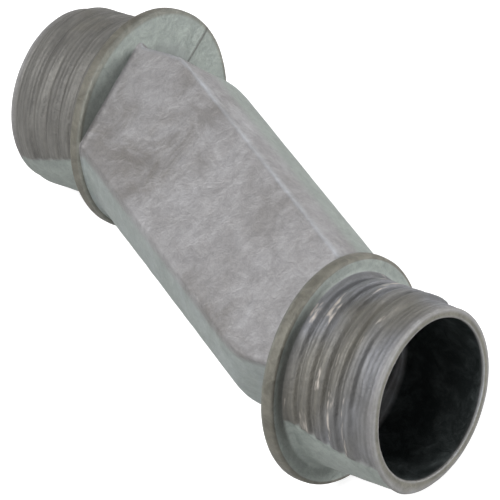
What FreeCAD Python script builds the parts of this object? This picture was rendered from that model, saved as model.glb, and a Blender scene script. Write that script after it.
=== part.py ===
import FreeCAD
import Part
import Sketcher
import math
import os

V = FreeCAD.Vector
XY, YZ = "XY_Plane", "YZ_Plane"

# Driving sizes, millimetres and degrees: alias, value, what it is
SIZES = [
    ("thread_major_d", 20.4, "across the crests of both threads"),
    ("thread_pitch", 1.814, "crest to crest, fourteen turns to the inch"),
    ("thread_depth", 0.6, "crest height above the tube"),
    ("root_sink", 0.15, "how far the thread's sweep is sunk into the tube"),
    ("crest_width", 0.55, "width of a crest at its top"),
    ("root_width", 0.35, "width of a groove at its bottom"),
    ("thread_run", 10.0, "collar's face to the end of the thread"),
    ("lead_length", 0.9, "length of the cone that the thread runs out on"),
    ("lip_length", 1.0, "plain lip beyond the thread"),
    ("lip_drop", 0.65, "lip below the crests"),
    ("lip_wall", 0.95, "wall of the lip"),
    ("lip_bevel", 0.25, "bevel round the lip's end"),
    ("land_angle", 52.0, "width of the smooth strip under each thread"),
    ("seam_angle", 14.0, "width of the smooth strip over each thread"),
    ("land_drop", 0.25, "smooth strips below the crests"),
    ("foot_thick", 0.3, "thickness of the ring at the thread's foot"),
    ("foot_rise", 0.05, "that ring above the crests"),
    ("collar_rise", 2.05, "collar's rim above the crests"),
    ("collar_thick", 1.5, "thickness of each collar"),
    ("collar_bevel", 0.3, "bevels of the collar's rim"),
    ("collar_span", 40.6, "outer face to outer face of the collars"),
    ("axis_offset", 19.95, "between the axes of the two tubes"),
    ("body_thick", 16.9, "across the two flats of the body"),
    ("body_wall", 1.25, "wall between a flat and the passage"),
    ("flat_rise", 4.6, "flat's edge beyond the tube's axis"),
    ("flat_run", 5.8, "flat's edge that runs along the tube"),
    ("flat_toe", 2.05, "flat's slanting edge short of the middle, at the collar"),
    ("crown_rise", 4.75, "seam's edge beyond the tube's axis, at the collar"),
    ("crown_peak", 6.0, "seam's edge beyond the tube's axis, at its corner"),
    ("crown_run", 8.65, "length of the seam's edge to its corner"),
    ("crown_toe", 1.15, "seam's slanting edge past the middle, at the collar"),
    ("edge_round", 0.6, "rounding of the flats' long edges"),
    ("mouth_floor", 0.5, "bottom of each mouth, beyond the collar's face"),
    ("side_margin", 2.65, "half the body's thickness less half the passage's width"),
    ("passage_side", 3.8, "passage's outer side beyond the tube's axis, at the mouth's bottom"),
    ("passage_over", 5.0, "how far the passage's cut runs on into each mouth"),
]

# Worked out from those: _x from the middle along the tubes, _y across them, _r from a tube's axis
PLACES = [
    ("face_x", "collar_span / 2", "collar's outer face"),
    ("back_x", "face_x - collar_thick", "collar's inner face"),
    ("middle_x", "face_x - collar_thick / 2", "middle of the collar's thickness"),
    ("face_bevel_x", "face_x - collar_bevel", "bevel of the rim, outer side"),
    ("back_bevel_x", "back_x + collar_bevel", "bevel of the rim, inner side"),
    ("foot_x", "face_x + foot_thick", "end of the ring at the thread's foot"),
    ("run_x", "face_x + thread_run", "end of the thread"),
    ("lead_x", "run_x - lead_length", "last full crest"),
    ("tip_x", "run_x + lip_length", "end of the tube"),
    ("tip_bevel_x", "tip_x - lip_bevel", "start of the lip's bevel"),
    ("past_tip_x", "tip_x + lip_bevel", "clear of the tube"),
    ("mouth_x", "face_x + mouth_floor", "bottom of the mouth"),
    ("crest_r", "thread_major_d / 2", "crests"),
    ("core_r", "crest_r - thread_depth", "bottom of the grooves"),
    ("sunk_r", "core_r - root_sink", "bottom of the thread's sweep"),
    ("land_r", "crest_r - land_drop", "smooth strips"),
    ("foot_r", "crest_r + foot_rise", "ring at the thread's foot"),
    ("lip_r", "crest_r - lip_drop", "lip"),
    ("past_lip_r", "lip_r - 2 * lip_bevel", "lip's bevel, clear of the tube"),
    ("mouth_r", "lip_r - lip_wall", "mouth"),
    ("collar_r", "crest_r + collar_rise", "collar's rim"),
    ("rim_r", "collar_r - collar_bevel", "collar's flat faces"),
    ("flank", "(thread_pitch - root_width - crest_width) / 2", "slope beside a crest"),
    ("spread", "root_sink * flank / thread_depth", "that slope below the tube"),
    ("crest_x", "face_x - thread_pitch / 2 + flank", "first crest, inner side"),
    ("crest_end_x", "crest_x + crest_width", "first crest, outer side"),
    ("root_x", "crest_x - flank - spread", "first crest's sunk foot, inner side"),
    ("root_end_x", "crest_end_x + flank + spread", "first crest's sunk foot, outer side"),
    ("helix_length", "thread_run - thread_pitch / 2", "length of the thread's sweep"),
    ("axis_y", "axis_offset / 2", "axis of each tube"),
    ("flat_z", "body_thick / 2", "flats of the body"),
    ("flat_y", "axis_y + flat_rise", "flat's edge beside the tube"),
    ("flat_bend_x", "back_x - flat_run", "corner of the flat"),
    ("crown_y", "axis_y + crown_rise", "seam's edge at the collar"),
    ("crown_peak_y", "axis_y + crown_peak", "seam's edge at its corner"),
    ("crown_bend_x", "back_x - crown_run", "corner of the seam"),
    ("passage_r", "flat_z - side_margin", "half circles of the passage's outline"),
    ("passage_rise", "flat_z - body_wall - passage_r", "centres of the half circles"),
    ("passage_y", "axis_y + passage_side - passage_r", "passage's axis at the bottom of the mouth"),
    ("passage_slant", "atan(passage_y / mouth_x) / 1deg", "passage's axis from the tubes'"),
    ("passage_length", "2 * mouth_x + passage_over", "length of the passage's cut"),
]

doc = FreeCAD.newDocument("OffsetNipple")
sheet = doc.addObject("Spreadsheet::Sheet", "Sizes")
rows = SIZES + [(alias, "=" + formula, note) for alias, formula, note in PLACES]
for row, (alias, value, note) in enumerate(rows, start=1):
    sheet.set(f"A{row}", note)
    sheet.set(f"B{row}", str(value))
    sheet.setAlias(f"B{row}", alias)
doc.recompute()

body = doc.addObject("PartDesign::Body", "Casting")
body.Label = "nipple_casting"


def size(place):
    """The value of a place in the sheet, counted backward where it starts with a minus."""
    if place.startswith("-"):
        return -float(sheet.get(place[1:]))
    return float(sheet.get(place))


def rule(place):
    """The same place as an expression."""
    return place.replace("-", "-Sizes.") if place.startswith("-") else "Sizes." + place


def turned(place):
    """The same place on the other side of zero."""
    return place[1:] if place.startswith("-") else "-" + place


def sketch(name, plane, y=None, along=None):
    """A sketch on an origin plane, moved in the plane and along its normal."""
    sk = body.newObject("Sketcher::SketchObject", name)
    origin = next(f for f in body.Origin.OriginFeatures if f.Role == plane)
    sk.AttachmentSupport = [(origin, "")]
    sk.MapMode = "FlatFace"
    if y:
        sk.setExpression("AttachmentOffset.Base.y", rule(y))
    if along:
        sk.setExpression("AttachmentOffset.Base.z", rule(along))
    return sk


def dimension(sk, kind, place, *where):
    """A dimension of a sketch, bound to the sheet."""
    number = sk.addConstraint(Sketcher.Constraint(kind, *where, size(place)))
    sk.setExpression(f"Constraints[{number}]", rule(place))


def corners(sk, points):
    """A closed outline through named places; None is a place on the sketch's own axis."""
    places = [V(size(x), size(y) if y else 0, 0) for x, y in points]
    lines = []
    for start, end in zip(places, places[1:] + places[:1]):
        lines.append(sk.addGeometry(Part.LineSegment(start, end)))
    for line, following in zip(lines, lines[1:] + lines[:1]):
        sk.addConstraint(Sketcher.Constraint("Coincident", line, 2, following, 1))
    for line, (x, y) in zip(lines, points):
        dimension(sk, "DistanceX", x, -1, 1, line, 1)
        if y:
            dimension(sk, "DistanceY", y, -1, 1, line, 1)
        else:
            sk.addConstraint(Sketcher.Constraint("PointOnObject", line, 1, -1))
    return sk


def feature(kind, name, profile, **settings):
    """A feature of the casting; text settings are places in the sheet, others plain values."""
    made = body.newObject("PartDesign::" + kind, name)
    made.Profile = profile
    for setting, value in settings.items():
        if isinstance(value, str):
            made.setExpression(setting, rule(value))
        else:
            setattr(made, setting, value)
    doc.recompute()
    return made


def outline(name, z, points):
    """A six-sided outline of the slanting body, the same after half a turn about its middle."""
    sk = sketch(name, XY, along=z)
    return corners(sk, points + [(turned(x), turned(y)) for x, y in points])


def add_trunk():
    """The slanting body, lofted from flat to seam to flat, so its long sides are crowned."""
    flat = [("-middle_x", "flat_y"), ("-flat_bend_x", "flat_y"), ("middle_x", "-flat_toe")]
    crown = [("-middle_x", "crown_y"), ("-crown_bend_x", "crown_peak_y"),
             ("middle_x", "crown_toe")]
    upper = outline("UpperFlat", "flat_z", flat)
    seam = outline("Seam", None, crown)
    lower = outline("LowerFlat", "-flat_z", flat)
    return feature("AdditiveLoft", "Trunk", upper, Sections=[seam, lower])


def round_long_edges(trunk):
    """Rounds the edges of both flats, without those that end in the collars."""
    names = []
    for number, edge in enumerate(trunk.Shape.Edges, start=1):
        ends = [vertex.Point for vertex in edge.Vertexes]
        on_flat = all(abs(abs(p.z) - size("flat_z")) < 1e-4 for p in ends)
        if on_flat and abs(ends[0].x - ends[-1].x) > 1e-4:
            names.append(f"Edge{number}")
    rounding = body.newObject("PartDesign::Fillet", "EdgeRounding")
    rounding.Base = (trunk, names)
    rounding.setExpression("Radius", rule("edge_round"))
    doc.recompute()


def beside_axis(name, end, points):
    """An outline beside a tube's axis. The near end points along X and the far end against it."""
    near = end == "Near"
    sk = sketch(end + name, XY, y="-axis_y" if near else "axis_y")
    return corners(sk, points if near else [(turned(x), r) for x, r in points])


def spin(kind, name, profile, angle=None):
    """Turns an outline about the tube's axis, all round or evenly to both sides."""
    axis = (profile, ["H_Axis"])
    if angle:
        return feature(kind, name, profile, ReferenceAxis=axis, Angle=angle, Midplane=True)
    return feature(kind, name, profile, ReferenceAxis=axis, Angle=360)


def add_collar_and_tube(end):
    """The collar with its bevelled rim, the ring at the thread's foot, and the tube."""
    profile = beside_axis("TubeSketch", end, [
        ("back_x", None), ("back_x", "rim_r"), ("back_bevel_x", "collar_r"),
        ("face_bevel_x", "collar_r"), ("face_x", "rim_r"), ("face_x", "foot_r"),
        ("foot_x", "foot_r"), ("foot_x", "core_r"), ("tip_x", "core_r"), ("tip_x", None)])
    spin("Revolution", end + "Tube", profile)


def add_thread(end):
    """One crest, swept along a right-hand helix."""
    profile = beside_axis("ThreadSketch", end, [
        ("root_x", "sunk_r"), ("crest_x", "crest_r"), ("crest_end_x", "crest_r"),
        ("root_end_x", "sunk_r")])
    feature("AdditiveHelix", end + "Thread", profile, ReferenceAxis=(profile, ["H_Axis"]),
            Mode=0, Pitch="thread_pitch", Height="helix_length", Reversed=end == "Far")


def add_strip(end, where, angle):
    """A smooth strip along the mould's seam: grooves filled and crests trimmed to one height."""
    def side(radius):
        return turned(radius) if where == "Under" else radius

    fill = beside_axis(where + "FillSketch", end, [
        ("middle_x", side("sunk_r")), ("run_x", side("sunk_r")),
        ("run_x", side("land_r")), ("middle_x", side("land_r"))])
    spin("Revolution", end + where + "Fill", fill, angle)
    trim = beside_axis(where + "TrimSketch", end, [
        ("foot_x", side("land_r")), ("tip_x", side("land_r")),
        ("tip_x", side("collar_r")), ("foot_x", side("collar_r"))])
    spin("Groove", end + where + "Trim", trim, angle)


def cut_lead(end):
    """The thread runs out on a cone, and the plain lip ends in a small bevel."""
    profile = beside_axis("LeadSketch", end, [
        ("lead_x", "crest_r"), ("run_x", "lip_r"), ("tip_bevel_x", "lip_r"),
        ("past_tip_x", "past_lip_r"), ("past_tip_x", "collar_r"), ("lead_x", "collar_r")])
    spin("Groove", end + "Lead", profile)


def cut_mouth(end):
    profile = beside_axis("MouthSketch", end, [
        ("mouth_x", None), ("mouth_x", "mouth_r"), ("tip_x", "mouth_r"), ("tip_x", None)])
    spin("Groove", end + "Mouth", profile)


def oblong(sk):
    """The passage's outline: two half circles, one above the other, joined by straight sides."""
    radius, rise = size("passage_r"), size("passage_rise")
    arcs = []
    for middle, start in ((rise, 0), (-rise, math.pi)):
        ring = Part.Circle(V(0, middle, 0), V(0, 0, 1), radius)
        arcs.append(sk.addGeometry(Part.ArcOfCircle(ring, start, start + math.pi)))
    top, bottom = arcs
    left = sk.addGeometry(Part.LineSegment(V(-radius, rise, 0), V(-radius, -rise, 0)))
    right = sk.addGeometry(Part.LineSegment(V(radius, -rise, 0), V(radius, rise, 0)))
    for before, after in ((top, left), (left, bottom), (bottom, right), (right, top)):
        sk.addConstraint(Sketcher.Constraint("Tangent", before, 2, after, 1))
    for arc in arcs:
        sk.addConstraint(Sketcher.Constraint("PointOnObject", arc, 3, -2))
    sk.addConstraint(Sketcher.Constraint("Vertical", left))
    dimension(sk, "Radius", "passage_r", top)
    dimension(sk, "DistanceY", "passage_rise", -1, 1, top, 3)
    dimension(sk, "DistanceY", "-passage_rise", -1, 1, bottom, 3)


def cut_passage():
    """The passage slants from the bottom of one mouth to the bottom of the other."""
    sk = sketch("PassageSketch", YZ)
    sk.AttachmentOffset = FreeCAD.Placement(V(), FreeCAD.Rotation(V(0, -1, 0), 1))
    sk.setExpression("AttachmentOffset.Rotation.Angle", rule("passage_slant"))
    oblong(sk)
    feature("Pocket", "Passage", sk, Midplane=True, Length="passage_length")


def resting_up():
    """The direction that points up when the casting lies on both rims and the far thread.

    Seen along the table, the line from the collar's rim to the last full crest lies flat, which
    gives the tilt of the tubes. The two rims touch together where (span - thickness) x =
    offset y, for the up direction (x, y, z).
    """
    reach = size("lead_x") - size("face_bevel_x")
    tilt = math.atan2(size("collar_rise"), reach)
    x = math.sin(tilt)
    y = x * (size("collar_span") - size("collar_thick")) / size("axis_offset")
    return V(x, y, math.sqrt(1 - x * x - y * y))


def lay_down():
    """Lays the casting at rest, with the tubes' axes over the table's X direction."""
    up = resting_up()
    ahead = V(1, 0, 0) - up * up.x
    ahead.normalize()
    lying = FreeCAD.Rotation(ahead, up.cross(ahead), up, "ZXY").inverted()
    body.Placement = FreeCAD.Placement(V(), lying)
    doc.recompute()
    box = body.Shape.optimalBoundingBox(False)
    middle = V((box.XMin + box.XMax) / 2, (box.YMin + box.YMax) / 2, box.ZMin)
    body.Placement = FreeCAD.Placement(-middle, lying)
    doc.recompute()


round_long_edges(add_trunk())
for end in ("Near", "Far"):
    add_collar_and_tube(end)
    add_thread(end)
    add_strip(end, "Under", "land_angle")
    add_strip(end, "Over", "seam_angle")
    cut_lead(end)
    cut_mouth(end)
cut_passage()
lay_down()

for obj in doc.Objects:
    if {"Invalid", "Error"} & set(obj.State):
        raise RuntimeError(f"{obj.Name} is not sound: {obj.State}")
if body.Shape.isNull() or not body.Shape.isValid() or len(body.Shape.Solids) != 1:
    raise RuntimeError("the casting isn't one sound solid")
os.makedirs("parts", exist_ok=True)
body.Shape.exportStep(f"parts/{body.Label}.step")
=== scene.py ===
import bpy
import numpy as np
from mathutils import Matrix


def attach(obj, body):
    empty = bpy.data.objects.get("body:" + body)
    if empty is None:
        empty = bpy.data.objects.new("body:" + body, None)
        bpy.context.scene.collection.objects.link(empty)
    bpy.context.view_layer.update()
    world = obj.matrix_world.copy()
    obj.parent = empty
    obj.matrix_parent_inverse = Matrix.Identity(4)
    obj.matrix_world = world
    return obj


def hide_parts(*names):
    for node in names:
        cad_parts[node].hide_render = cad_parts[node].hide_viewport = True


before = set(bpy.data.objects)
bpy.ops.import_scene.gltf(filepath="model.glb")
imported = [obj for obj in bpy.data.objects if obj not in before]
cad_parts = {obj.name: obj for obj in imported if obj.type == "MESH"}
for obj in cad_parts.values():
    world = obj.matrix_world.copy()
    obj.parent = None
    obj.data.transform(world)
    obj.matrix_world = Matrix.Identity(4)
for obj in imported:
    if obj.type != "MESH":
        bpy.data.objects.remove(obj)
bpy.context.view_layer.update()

MM = 0.001
TURN = 2 * np.pi

# The casting's own axes as it lies: along the tubes, across them, and square to the flats
AXES = np.array([[0.977035, -0.091074, -0.192632],
                 [0.000000, 0.904051, -0.427425],
                 [0.213077, 0.417609, 0.883290]])
MIDDLE = np.array([0.0, 0.0, 12.0646])

# Millimetres. _X is counted from the middle along the tubes, _R from a tube's axis
AXIS_Y, FLAT_Z = 9.975, 8.45
BACK_X, MID_X, FACE_X = 18.8, 19.55, 20.3
COLLAR_R, RIM_ROUND = 12.25, 0.3
TIP_X, LIP_R, LIP_ROUND, LIP_SWELL = 31.3, 9.68, 0.28, 0.42
MOUTH_R, MOUTH_ROUND = 8.6, 0.14
FLOOR_X, FLOOR_R, FLOOR_ROUND = 20.8, 8.45, 0.15
SLANT = 7.975 / FLOOR_X
OBLONG_R, OBLONG_RISE = 5.8, 1.4

# Threads. The crest and its flanks are shares of a pitch; an end is 1 for near, -1 for far
CREST_R, LAND_R = 10.2, 9.97
LEAD_X, RUN_X = 29.4, 30.3
PITCH, FIRST_CREST_X, TURNS = 1.814, 20.122, 5.0
CREST_HALF, FLANK = 0.20, 0.30
GROOVE = {1: 0.52, -1: 0.26}
CREST_WEAR = {1: 1.0, -1: 0.8}
FOOT_LENGTH, FOOT_STEEPNESS = 0.8, 0.55

# Edges of the body: at the far collar, bend's place, at the bend, at the near collar, softness
FLAT_LINE = (14.575, 13.0, 14.575, -2.05, 0.10)
CROWN_LINE = (14.725, 10.15, 15.975, 1.15, 0.22)
EDGE_ROUND = 0.55
FLARE_REACH, FLARE_SHARE = 0.75, 0.55

# Where the colour changes round a tube: painted shadow on the collars' outer faces, painted shade
# on their inner faces, and a lighter edge inside each lip
PAINTED_SHADOW_ANGLE, CORNER_SHADE_ANGLE, BRIGHT_LIP_ANGLE = np.radians((128, 160, 290))
PAINTED_SHADOW_SPREAD, CORNER_SHADE_SPREAD, BRIGHT_LIP_SPREAD = 0.95, 0.75, 0.7
LINE_TURN = 11.0

AROUND = 200
MARKS = ("crest", "bore", "land", "thread", "rim", "seam", "along", "edge")

# Camera, fitted to the photograph's view of the casting at rest
EYE = np.array([221.887, -268.605, 347.051]) * MM
RIGHT = np.array([0.787716, 0.615492, -0.026017])
DOWN = np.array([0.413156, -0.559151, -0.718793])
AHEAD = np.array([-0.456945, 0.555458, -0.694750])
LENS, SENSOR = 328.2, 36.0


def smooth(x):
    """Zero below 0, one above 1, and 3x^2 - 2x^3 between."""
    x = np.clip(x, 0.0, 1.0)
    return x * x * (3 - 2 * x)


def soft_min(a, b, width):
    """The lesser of two, with the corner rounded: -w log(exp(-a/w) + exp(-b/w))."""
    return -width * np.logaddexp(-a / width, -b / width)


def bell(x, middle, spread):
    """A Gaussian hump of height one: exp(-((x - middle) / spread)^2)."""
    return np.exp(-((x - middle) / spread) ** 2)


def lumps(points, scale, seed):
    """Smooth unevenness from -1 to 1: a mean of sines of the place along fixed slanting lines."""
    draw = np.random.default_rng(seed)
    total = np.zeros(points.shape[:-1])
    for octave in range(3):
        lines = draw.normal(size=(5, 3)) / scale * 2.1 ** octave
        shifts = draw.uniform(0, TURN, 5)
        total += np.sin(points @ lines.T * TURN * 0.35 + shifts).mean(-1) * 0.6 ** octave
    return total / 1.3


def arc(cx, cy, radius, start, stop, count):
    """Points of a rounded corner: centre plus radius at equal angles from start to stop."""
    a = np.radians(np.linspace(start, stop, count))
    return np.stack([cx + radius * np.cos(a), cy + radius * np.sin(a)], 1)


def thread_height(x, angle):
    """Height of the thread, 0 to 1: a crest lies where x is a whole number of pitches past the
    first crest plus the angle's share of a pitch, and falls off smoothly on both flanks."""
    turns = (x - FIRST_CREST_X) / PITCH - angle / TURN
    nearest = np.clip(np.round(turns), 0, np.floor(TURNS - angle / TURN))
    return smooth((CREST_HALF + FLANK - np.abs(turns - nearest)) / FLANK)


def strips(x, angle):
    """How much of each smooth strip is here, 0 to 1: a wide one under the tube, whose upper
    border falls towards the mouth, and a thin one opposite it along the mould's seam."""
    share = (x - FACE_X) / (TIP_X - FACE_X)
    past = angle % TURN - np.pi
    soft = np.radians(2.5)
    low = smooth((np.radians(33.0 - 20.0 * share) + past) / soft)
    low = low * smooth((np.radians(45.0) - past) / soft)
    over = np.abs((angle + np.pi) % TURN - np.pi)
    return low, smooth((np.radians(5.5) - over) / np.radians(4.0))


def lip_radius(angle, sign):
    """Radius of the plain lip: a circle, with a low swelling under the near tube that falls off
    as a Gaussian of the angle."""
    swell = LIP_SWELL * bell(angle % TURN - np.pi, 0.35, 0.45)
    return LIP_R + (swell if sign > 0 else 0.0)


def tube_radius(x, angle, sign):
    """Outer radius of a threaded tube: the crest less a groove, evened out on the two strips,
    cut down by the cone that the thread runs out on, and spread in a square law at its foot."""
    height = thread_height(x, (sign * angle) % TURN)
    radius = CREST_R - GROOVE[sign] * (1 - height)
    low, high = strips(x, angle)
    radius = radius + (LAND_R - radius) * low
    radius = radius + (LAND_R - 0.02 - radius) * high * 0.85
    cone = CREST_R - (CREST_R - LIP_R) * (x - LEAD_X) / (RUN_X - LEAD_X)
    radius = soft_min(radius, np.maximum(cone, lip_radius(angle, sign)), 0.05) + 0.012
    foot = np.maximum(0.0, FOOT_LENGTH - (x - FACE_X))
    return radius + foot ** 2 * FOOT_STEEPNESS, height, np.maximum(low, high)


def oblong(angle):
    """Distance from the passage's axis to its wall at an angle, in the plane square to the
    tubes: a slot of two half circles, widened sideways by the slant of the passage."""
    widen = np.hypot(1, SLANT)
    y, z = np.cos(angle) / widen, np.sin(angle)
    length = np.hypot(y, z)
    y, z = y / length, np.abs(z / length)
    side = OBLONG_R / np.maximum(np.abs(y), 1e-9)
    lift = z * OBLONG_RISE
    cap = lift + np.sqrt(np.maximum(lift * lift - OBLONG_RISE ** 2 + OBLONG_R ** 2, 0))
    return np.where(side * z < OBLONG_RISE, side, cap) / length


class Loop:
    """The rows that make one end of the casting, each once round the tube. Every point of a row
    carries the marks that the finish follows."""

    def __init__(self, sign):
        self.sign = sign
        self.angle = np.linspace(0, TURN, AROUND, endpoint=False)
        self.rows, self.marks = [], []

    def row(self, x, y, z, **marks):
        marks["along"] = self.sign * x
        self.rows.append(np.stack(np.broadcast_arrays(x, y, z), 1))
        self.marks.append(np.stack([np.broadcast_to(marks.get(name, 0.0), AROUND)
                                    for name in MARKS], 1))

    def ring(self, x, radius, **marks):
        self.row(x, radius * np.cos(self.angle), radius * np.sin(self.angle), **marks)

    def corner(self, x, r, radius, start, stop, count, **marks):
        for place, distance in arc(x, r, radius, start, stop, count):
            self.ring(place, distance, **marks)


def add_passage_end(loop):
    """Oblong rows of the passage, and the bottom of the mouth, where each point moves by a share
    of the way from the oblong to the mouth's circle."""
    def oblong_row(x, grow):
        radius = oblong(loop.angle) + grow
        y = loop.sign * (AXIS_Y - x * SLANT) + radius * np.cos(loop.angle)
        z = radius * np.sin(loop.angle)
        # Painted light on the passage's end rows, with a little painted shade
        loop.row(x, y, z, bore=0.1, edge=0.4)
        return y, z

    for x in (BACK_X, FACE_X, FLOOR_X - 0.15):
        oblong_row(x, 0.0)
    y, z = oblong_row(FLOOR_X, 0.12)
    # Painted light on the bottom of the mouth
    for share in (0.33, 0.66):
        loop.row(FLOOR_X, y + (FLOOR_R * np.cos(loop.angle) - y) * share,
                 z + (FLOOR_R * np.sin(loop.angle) - z) * share, edge=0.5)


def add_mouth_and_lip(loop):
    """The mouth's straight wall, the rounded edge inside the lip, its flat ring and the rounded
    edge outside."""
    # Painted light on the rounded edge at the bottom of the mouth
    loop.corner(FLOOR_X + FLOOR_ROUND, MOUTH_R - FLOOR_ROUND, FLOOR_ROUND, 180, 90, 4, edge=0.5)
    # Painted shade on the mouth's wall, fading out at the lip
    for x in np.append(np.linspace(21.5, 30.7, 9), (31.0, 31.12)):
        loop.ring(x, MOUTH_R, bore=smooth((31.16 - x) / 0.2))
    # The rounded edge inside the lip is lighter, most at one angle
    lip_brightness = 0.08 + 0.55 * bell(loop.angle, BRIGHT_LIP_ANGLE, BRIGHT_LIP_SPREAD)
    loop.corner(TIP_X - MOUTH_ROUND, MOUTH_R + MOUTH_ROUND, MOUTH_ROUND, 270, 360, 4,
                edge=lip_brightness, rim=0.6)
    for radius in (8.9, 9.1):
        loop.ring(TIP_X, radius, rim=1.0)
    outer = lip_radius(loop.angle, loop.sign)
    for x, drop in arc(TIP_X - LIP_ROUND, -LIP_ROUND, LIP_ROUND, 0, 80, 6):
        loop.ring(x, drop + outer, rim=0.4, edge=0.15)


def add_threaded_tube(loop):
    """The tube's outside from the lip back to the collar, a row at every tenth of a millimetre."""
    for x in np.arange(TIP_X - 0.34, FACE_X + 0.001, -0.1):
        radius, height, land = tube_radius(x, loop.angle, loop.sign)
        loop.ring(x, radius, crest=height * CREST_WEAR[loop.sign], land=land,
                  thread=(1 - land) * smooth((31.4 - x) / 1.2))


def add_collar(loop):
    """The collar's outer face, with a painted shadow next to the thread, its rounded rim, lowest
    at both sides, and its inner face with the mould's parting line as a low ridge one point wide
    and painted shade at one side."""
    seam_point = 0 if loop.sign < 0 else AROUND // 2
    seam = (np.arange(AROUND) == seam_point) * 1.0
    # Painted shadow of the tube on the outer face, darkest next to the thread and at one side
    painted_shadow = bell(loop.angle, PAINTED_SHADOW_ANGLE, PAINTED_SHADOW_SPREAD)
    for radius, dark in ((10.62, 0.95), (11.1, 0.85), (11.5, 0.45), (11.8, 0.1)):
        loop.ring(FACE_X, radius, land=1.0, seam=dark * painted_shadow)
    inner = COLLAR_R - RIM_ROUND
    loop.corner(FACE_X - RIM_ROUND, inner, RIM_ROUND, 0, 90, 6, rim=1.0, crest=0.3)
    for x in (19.8, 19.55, 19.3):
        loop.ring(x, COLLAR_R + 0.03 - 0.12 * abs(x - MID_X), rim=1.0)
    loop.corner(BACK_X + RIM_ROUND, inner, RIM_ROUND, 90, 180, 6, rim=0.8, land=1.0, seam=seam)
    # Painted shade on the inner face at one side, where the body meets the collar
    corner_shade = 0.72 * bell(loop.angle, CORNER_SHADE_ANGLE, CORNER_SHADE_SPREAD)
    for radius, dark in ((11.6, 0.7), (11.1, 0.9), (10.5, 1.0), (9.8, 1.0), (9.0, 1.0)):
        loop.ring(BACK_X - 0.08 * seam, radius, land=1.0, seam=np.maximum(seam, dark * corner_shade))


def end_shell(sign):
    """One collar and tube as a closed loop of rows: from the passage over the bottom of the
    mouth, out along its wall, round the lip, back over the thread, and round the collar."""
    loop = Loop(sign)
    add_passage_end(loop)
    add_mouth_and_lip(loop)
    add_threaded_tube(loop)
    add_collar(loop)
    points = np.array(loop.rows)
    points[..., 0] *= sign
    points[..., 1] -= sign * AXIS_Y
    return points, np.array(loop.marks)


def edge_line(x, at_far, bend_x, at_bend, at_near, softness):
    """An edge of the body seen square to its flats: a line from the far collar to the bend, and
    one from the bend to the near collar, joined by a soft minimum."""
    first = at_far + (at_bend - at_far) * (x + MID_X) / (MID_X - bend_x)
    second = at_bend + (at_near - at_bend) * (x + bend_x) / (MID_X + bend_x)
    return soft_min(first, second, softness) + softness * 0.25


def section_side(x):
    """One side of the body's section at each x. It bulges by (1 - (z / half thickness)^2) from
    the flat's edge to the seam, and meets the flat in a curve with one middle point."""
    flat, crown = edge_line(x, *FLAT_LINE), edge_line(x, *CROWN_LINE)
    bulge = crown - flat
    slope = 2 * bulge / FLAT_Z
    steep = np.sqrt(1 + slope ** 2)
    meet = EDGE_ROUND * np.tan(np.arccos(np.clip(slope / steep, -1, 1)) / 2)
    top = FLAT_Z - meet / steep
    rise = np.linspace(-1, 1, 33)[None, :] * top[:, None]
    side = flat[:, None] + bulge[:, None] * (1 - (rise / FLAT_Z) ** 2)
    w = np.linspace(0, 1, 9)[None, 1:, None]
    start = np.stack([side[:, -1], top], 1)[:, None, :]
    corner = np.stack([flat, np.full_like(flat, FLAT_Z)], 1)[:, None, :]
    stop = corner - np.stack([meet, 0 * meet], 1)[:, None, :]
    bend = (1 - w) ** 2 * start + 2 * w * (1 - w) * corner + w ** 2 * stop
    return side, rise, bend


def body_sections(x):
    """The closed section at each x: one side, the upper flat, the other side, which is the first
    one turned half round, and the lower flat."""
    side_a, rise_a, bend_a = section_side(x)
    side_b, rise_b, bend_b = section_side(-x)
    over_a, over_b = bend_a[:, -1, 0], -bend_b[:, -1, 0]
    share = np.linspace(0, 1, 30)[None, 1:-1]
    flat_y = over_a[:, None] + (over_b - over_a)[:, None] * share
    flat_z = np.full_like(flat_y, FLAT_Z)
    y = np.concatenate([side_a, bend_a[..., 0], flat_y, -bend_b[:, ::-1, 0],
                        -side_b[:, ::-1], -bend_b[..., 0], flat_y[:, ::-1],
                        bend_a[:, ::-1, 0]], 1)
    z = np.concatenate([rise_a, bend_a[..., 1], flat_z, bend_b[:, ::-1, 1],
                        rise_b[:, ::-1], -bend_b[..., 1], -flat_z,
                        -bend_a[:, ::-1, 1]], 1)
    return y, z


def outward(y, z):
    """Unit direction out of each section: the line between a point's neighbours, turned by a
    quarter turn."""
    dy = np.roll(y, -1, 1) - np.roll(y, 1, 1)
    dz = np.roll(z, -1, 1) - np.roll(z, 1, 1)
    length = np.hypot(dy, dz) + 1e-9
    return dz / length, -dy / length


def flare(x):
    """How far the body spreads beside a collar: a share of reach - sqrt(reach^2 - (reach -
    gap)^2), the rise of a quarter circle."""
    gap = np.clip(BACK_X - np.abs(x), 0.0, None)
    drop = np.sqrt(np.clip(FLARE_REACH ** 2 - (FLARE_REACH - gap) ** 2, 0, None))
    rise = np.where(gap < FLARE_REACH, FLARE_REACH - drop, 0.0)
    return rise * FLARE_SHARE * (np.abs(x) < MID_X - 0.2)


def passage_wall(x, y, z):
    """The passage inside the body, and its places along the tubes: the oblong at each place, its
    points at the angles of the nearest section's points."""
    places = np.concatenate([[MID_X, 18.9], np.linspace(BACK_X, -BACK_X, 24), [-18.9, -MID_X]])
    grow = np.where(np.abs(places) > BACK_X, 0.35, 0.0)
    middle = -places * SLANT
    nearest = np.round(np.interp(places, x, np.arange(len(x)))).astype(int)
    angle = np.arctan2(z[nearest], y[nearest] - middle[:, None])
    radius = oblong(angle) + grow[:, None]
    wall = np.stack(np.broadcast_arrays(places[:, None],
                                        middle[:, None] + radius * np.cos(angle),
                                        radius * np.sin(angle)), -1)
    return wall, places


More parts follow.
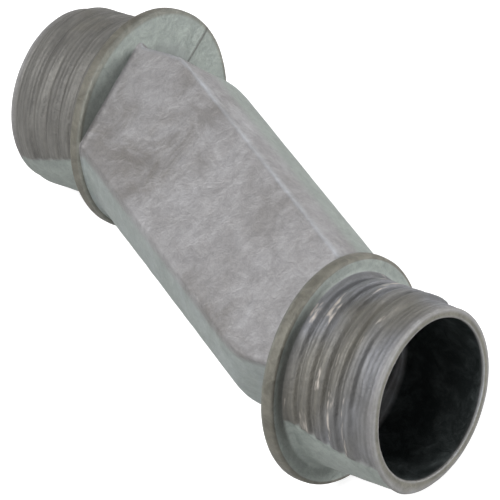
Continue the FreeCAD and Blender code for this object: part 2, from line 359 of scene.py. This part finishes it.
def body_shell():
    """The slanting body: a section at each place along it, closer together at the collars, moved
    outward by the flare, and the wall of the passage inside."""
    ends = MID_X - np.concatenate([[0.0, 0.7], 0.75 + 1.1 * np.linspace(0, 1, 14) ** 1.4])
    inner = np.linspace(-ends[-1], ends[-1], 96)[1:-1]
    x = np.concatenate([-ends, inner, ends[::-1]])
    y, z = body_sections(x)
    out_y, out_z = outward(y, z)
    spread = flare(x)[:, None]
    y, z = y + out_y * spread, z + out_z * spread
    outer = np.stack(np.broadcast_arrays(x[:, None], y, z), -1)
    wall, places = passage_wall(x, y, z)
    points = np.concatenate([outer, wall])
    marks = np.zeros(points.shape[:2] + (len(MARKS),))
    outside, inside = slice(0, len(outer)), slice(len(outer), None)
    deep = smooth((BACK_X - np.abs(places)) / 7.0)
    pale = smooth((8.0 - np.abs(z)) / 1.0)
    crease_highlight = 0.6 * bell(z, 8.3, 0.16) * (out_y > 0.12)
    # Painted shade in the passage, darker deeper in
    marks[inside, :, MARKS.index("bore")] = 0.15 + 0.85 * deep[:, None]
    marks[outside, :, MARKS.index("land")] = np.where(out_y > 0, smooth((6.2 - z) / 2.2), pale)
    # Painted highlight along one flat's long edge on one side, and painted light lifting the pale
    # strip on the other side
    marks[outside, :, MARKS.index("edge")] = np.maximum(crease_highlight, 0.3 * pale * (out_y < 0))
    return points, marks


def grid_faces(rows, around):
    """Four-cornered faces of a grid that closes both ways, as indices."""
    row = np.arange(rows)[:, None]
    col = np.arange(around)[None, :]
    next_row, next_col = (row + 1) % rows, (col + 1) % around
    corners = [row * around + col, row * around + next_col,
               next_row * around + next_col, next_row * around + col]
    return np.stack([np.broadcast_to(c, (rows, around)) for c in corners], -1).reshape(-1, 4)


def signed_volume(points, faces):
    """Six times the volume that faces enclose: the sum of a . (b x c) over their triangles."""
    a, b, c, d = (points[faces[:, k]] for k in range(4))
    return (np.einsum("ij,ij->i", a, np.cross(b, c))
            + np.einsum("ij,ij->i", a, np.cross(c, d))).sum()


def join_shells(shells):
    """Points, faces and marks of all shells in one list each, with every face turned outwards."""
    points, faces, marks = [], [], []
    first = 0
    for grid, mark in shells:
        flat = grid.reshape(-1, 3)
        quads = grid_faces(*grid.shape[:2])
        if signed_volume(flat, quads) < 0:
            quads = quads[:, ::-1]
        points.append(flat)
        faces.append(quads + first)
        marks.append(mark.reshape(-1, len(MARKS)))
        first += len(flat)
    return map(np.concatenate, (points, faces, marks))


def make_mesh(name, world, faces):
    """A smooth-shaded mesh of four-cornered faces."""
    mesh = bpy.data.meshes.new(name)
    mesh.vertices.add(len(world))
    mesh.vertices.foreach_set("co", world.astype(np.float32).ravel())
    mesh.loops.add(faces.size)
    mesh.loops.foreach_set("vertex_index", faces.astype(np.int32).ravel())
    mesh.polygons.add(len(faces))
    mesh.polygons.foreach_set("loop_start", np.arange(0, faces.size, 4, dtype=np.int32))
    mesh.polygons.foreach_set("use_smooth", np.ones(len(faces), dtype=bool))
    mesh.update(calc_edges=True)
    mesh.validate()
    return mesh


def add_casting():
    """All shells in one mesh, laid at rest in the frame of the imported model, with each point
    moved along its normal by the cast skin's unevenness, and none below the floor."""
    points, faces, marks = join_shells([end_shell(1), end_shell(-1), body_shell()])
    world = (points @ AXES.T + MIDDLE) * MM
    mesh = make_mesh("nipple_casting_skin", world, faces)
    uneven = lumps(points, 4.0, 3) * 0.035 + lumps(points, 1.3, 5) * 0.012
    normals = np.empty(len(world) * 3, dtype=np.float32)
    mesh.vertex_normals.foreach_get("vector", normals)
    world = world + normals.reshape(-1, 3) * (uneven * MM)[:, None]
    world[:, 2] = np.maximum(world[:, 2], 0.003 * MM)
    mesh.vertices.foreach_set("co", world.astype(np.float32).ravel())
    for k, name in enumerate(MARKS):
        layer = mesh.attributes.new(name, "FLOAT", "POINT")
        layer.data.foreach_set("value", marks[:, k].astype(np.float32))
    mesh.update()
    piece = bpy.data.objects.new("nipple_casting_skin", mesh)
    bpy.context.scene.collection.objects.link(piece)
    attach(piece, "root")
    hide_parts("nipple_casting")
    return piece


class Nodes:
    """Short calls for building one material's node tree."""

    def __init__(self, name):
        self.material = bpy.data.materials.new(name)
        self.material.use_nodes = True
        self.tree = self.material.node_tree
        self.shader = self.tree.nodes["Principled BSDF"]
        self.output = self.tree.nodes["Material Output"]
        self.place = self.add("ShaderNodeTexCoord").outputs["Object"]

    def add(self, kind, **settings):
        node = self.tree.nodes.new(kind)
        for name, value in settings.items():
            setattr(node, name, value)
        return node

    def join(self, source, target):
        self.tree.links.new(source, target)

    def streaks(self, stretch):
        """Object coordinates turned to the casting's axes and drawn out round the tubes."""
        node = self.add("ShaderNodeMapping", vector_type="TEXTURE")
        node.inputs["Rotation"].default_value = Matrix(AXES.tolist()).to_euler()
        node.inputs["Scale"].default_value = (1.0, stretch, stretch)
        self.join(self.place, node.inputs["Vector"])
        return node.outputs["Vector"]

    def noise(self, scale, detail, rough, warp, low, high, vector=None):
        """Noise in which low and less is 0, and high and more is 1."""
        node = self.add("ShaderNodeTexNoise")
        node.inputs["Scale"].default_value = scale
        node.inputs["Detail"].default_value = detail
        node.inputs["Roughness"].default_value = rough
        node.inputs["Distortion"].default_value = warp
        self.join(vector or self.place, node.inputs["Vector"])
        return self.span(node.outputs["Fac"], low, high)

    def span(self, value, low, high, start=0.0, stop=1.0):
        node = self.add("ShaderNodeMapRange")
        for name, number in (("From Min", low), ("From Max", high),
                             ("To Min", start), ("To Max", stop)):
            node.inputs[name].default_value = number
        self.join(value, node.inputs["Value"])
        return node.outputs["Result"]

    def math(self, kind, a, b):
        node = self.add("ShaderNodeMath", operation=kind)
        for socket, value in zip(node.inputs, (a, b)):
            if isinstance(value, (int, float)):
                socket.default_value = value
            else:
                self.join(value, socket)
        return node.outputs[0]

    def times(self, a, b):
        return self.math("MULTIPLY", a, b)

    def mix(self, share, a, b):
        node = self.add("ShaderNodeMix", data_type="RGBA")
        self.join(share, node.inputs["Factor"])
        for name, value in (("A", a), ("B", b)):
            socket = [s for s in node.inputs if s.name == name and s.type == "RGBA"][0]
            if isinstance(value, tuple):
                socket.default_value = value + (1,)
            else:
                self.join(value, socket)
        return [s for s in node.outputs if s.type == "RGBA"][0]

    def mark(self, name):
        node = self.add("ShaderNodeAttribute", attribute_name=name)
        return node.outputs["Fac"]


def thread_colour(n, base, broad, drawn, lines, marks):
    """Threads: cool grey with warm patches, warm all over on the far tube, darker fine lines, and
    short scuffs of bare metal on the crests."""
    thread = marks["thread"]
    cool = n.mix(drawn, (0.15, 0.154, 0.164), (0.27, 0.276, 0.298))
    warm = n.mix(drawn, (0.135, 0.128, 0.110), (0.225, 0.215, 0.185))
    far = n.span(marks["along"], -1.0, 1.0, 0.8, 0.0)
    base = n.mix(n.times(thread, 0.95), base, n.mix(n.math("MAXIMUM", broad, far), cool, warm))
    base = n.mix(n.times(lines, 0.30), base, (0.10, 0.10, 0.095))
    dashes = n.noise(900.0, 3.0, 0.6, 0.2, 0.575, 0.64, n.streaks(5.0))
    scuff = n.times(n.times(thread, n.span(marks["crest"], 0.88, 1.0)), dashes)
    return n.mix(n.times(scuff, 0.8), base, (0.66, 0.60, 0.54))


def cast_zinc():
    """Dull mottled zinc: warm grey flats, greener strips and faces, olive rims, darker threads,
    pale metal on the lip's edges, painted highlight and painted light in that same colour, painted
    shadow and shade by the collars, and painted shade in the nearly black bore."""
    n = Nodes("cast_zinc")
    marks = {name: n.mark(name) for name in MARKS}
    broad = n.noise(75.0, 2.0, 0.5, 0.4, 0.42, 0.62)
    patch = n.noise(210.0, 6.0, 0.7, 0.9, 0.42, 0.66)
    fine = n.noise(1900.0, 5.0, 0.75, 0.6, 0.30, 0.70)
    flow = n.noise(520.0, 6.0, 0.7, 0.9, 0.36, 0.66)
    drawn = n.noise(700.0, 4.0, 0.65, 0.3, 0.38, 0.64, n.streaks(5.0))
    wave = n.math("ADD", n.times(marks["along"], LINE_TURN), n.times(drawn, 2.5))
    lines = n.times(n.span(n.math("SINE", wave, 0.0), -1.0, 1.0), marks["thread"])
    base = n.mix(broad, (0.365, 0.355, 0.360), (0.220, 0.206, 0.194))
    base = n.mix(n.times(patch, 0.62), base, (0.53, 0.525, 0.545))
    base = n.mix(n.times(flow, 0.45), base, (0.20, 0.195, 0.20))
    green = n.mix(flow, (0.27, 0.31, 0.285), (0.40, 0.445, 0.41))
    base = n.mix(n.times(marks["land"], 0.92), base, green)
    olive = n.mix(flow, (0.125, 0.120, 0.095), (0.24, 0.23, 0.19))
    base = n.mix(marks["rim"], base, olive)
    base = thread_colour(n, base, broad, drawn, lines, marks)
    base = n.mix(n.times(fine, 0.32), base, (0.12, 0.12, 0.12))
    # Pale metal on the lip's edges, and in the same colour painted highlight along one flat's long
    # edge and painted light on one side and at the passage's ends
    metal_and_painted_light = n.times(marks["edge"], n.span(patch, 0.0, 1.0, 0.35, 0.8))
    base = n.mix(metal_and_painted_light, base, (0.56, 0.60, 0.66))
    # The mould's parting line, and the painted shadow and painted shade on the collars' faces,
    # darkened alike
    base = n.mix(n.times(marks["seam"], 0.8), base, (0.06, 0.055, 0.05))
    # Painted shade in the bore and passage: near black, with a little mottle
    bore_shade = n.mix(n.times(flow, patch), (0.014, 0.020, 0.020), (0.12, 0.14, 0.14))
    n.join(n.mix(marks["bore"], base, bore_shade), n.shader.inputs["Base Color"])
    n.shader.inputs["Metallic"].default_value = 0.30
    n.join(n.span(n.math("ADD", fine, flow), 0.0, 2.0, 0.40, 0.60), n.shader.inputs["Roughness"])
    height = n.math("ADD", n.times(flow, 0.6), n.times(fine, 0.4))
    bump = n.add("ShaderNodeBump")
    bump.inputs["Strength"].default_value = 0.8
    bump.inputs["Distance"].default_value = 0.0001
    n.join(n.math("SUBTRACT", height, n.times(lines, 0.5)), bump.inputs["Height"])
    n.join(bump.outputs["Normal"], n.shader.inputs["Normal"])
    return n.material


def pale_floor():
    """A pale matt floor. The camera sees it lifted towards white by a plain glow that sends no
    light to the casting, so that only the casting's shadow shows on it."""
    n = Nodes("pale_floor")
    n.shader.inputs["Base Color"].default_value = (0.60, 0.60, 0.60, 1)
    n.shader.inputs["Roughness"].default_value = 0.95
    glow = n.add("ShaderNodeEmission")
    glow.inputs["Color"].default_value = (1, 1, 1, 1)
    glow.inputs["Strength"].default_value = 0.80
    lifted = n.add("ShaderNodeAddShader")
    n.join(n.shader.outputs[0], lifted.inputs[0])
    n.join(glow.outputs[0], lifted.inputs[1])
    choose = n.add("ShaderNodeMixShader")
    n.join(n.add("ShaderNodeLightPath").outputs["Is Camera Ray"], choose.inputs[0])
    n.join(n.shader.outputs[0], choose.inputs[1])
    n.join(lifted.outputs[0], choose.inputs[2])
    n.join(choose.outputs[0], n.output.inputs["Surface"])
    return n.material


def add_floor():
    """A large flat square at the height that the casting rests on."""
    half = 4.0
    corners = [(-half, -half, 0), (half, -half, 0), (half, half, 0), (-half, half, 0)]
    mesh = bpy.data.meshes.new("floor")
    mesh.from_pydata(corners, [], [(0, 1, 2, 3)])
    floor = bpy.data.objects.new("floor", mesh)
    bpy.context.scene.collection.objects.link(floor)
    mesh.materials.append(pale_floor())


def place_object(name, data, place, axes):
    """A camera or lamp at a place, turned so that its own axes are the given columns."""
    thing = bpy.data.objects.new(name, data)
    bpy.context.scene.collection.objects.link(thing)
    turn = Matrix(axes.tolist()).to_4x4()
    thing.matrix_world = Matrix.Translation([float(v) for v in place]) @ turn
    return thing


def add_camera():
    """A long lens at the photograph's viewing angle."""
    data = bpy.data.cameras.new("photo_camera")
    data.lens = LENS
    data.sensor_width = SENSOR
    data.clip_start = 0.01
    data.clip_end = 20.0
    axes = np.stack([RIGHT, -DOWN, -AHEAD], axis=1)
    bpy.context.scene.camera = place_object("photo_camera", data, EYE, axes)


def add_lamp(name, place, size, power):
    """A square soft lamp at a place, aimed at the casting."""
    data = bpy.data.lights.new(name, "AREA")
    data.shape = "SQUARE"
    data.size = size
    data.energy = power
    back = np.array(place) - MIDDLE.round() * MM
    back /= np.linalg.norm(back)
    side = np.cross((0, 0, 1), back)
    side /= np.linalg.norm(side)
    place_object(name, data, place, np.stack([side, np.cross(back, side), back], axis=1))


def add_world():
    """Even studio light from all round; the camera sees white."""
    world = bpy.data.worlds.new("studio")
    bpy.context.scene.world = world
    world.use_nodes = True
    tree = world.node_tree
    sky = tree.nodes["Background"]
    sky.inputs["Color"].default_value = (1, 1, 1, 1)
    sky.inputs["Strength"].default_value = 0.26
    seen = tree.nodes.new("ShaderNodeBackground")
    seen.inputs["Color"].default_value = (1, 1, 1, 1)
    seen.inputs["Strength"].default_value = 1.0
    path = tree.nodes.new("ShaderNodeLightPath")
    choose = tree.nodes.new("ShaderNodeMixShader")
    tree.links.new(path.outputs["Is Camera Ray"], choose.inputs[0])
    tree.links.new(sky.outputs[0], choose.inputs[1])
    tree.links.new(seen.outputs[0], choose.inputs[2])
    tree.links.new(choose.outputs[0], tree.nodes["World Output"].inputs["Surface"])


bpy.context.scene.view_settings.view_transform = "Standard"
add_camera()
add_world()
add_floor()
add_lamp("key", (0.60, 0.32, 0.11), 0.16, 2.8)
add_lamp("side", (-0.05, 0.60, 0.35), 0.30, 1.3)
add_lamp("fill", (-0.12, -0.40, 0.60), 0.45, 5.2)

casting = add_casting()
casting.data.materials.append(cast_zinc())
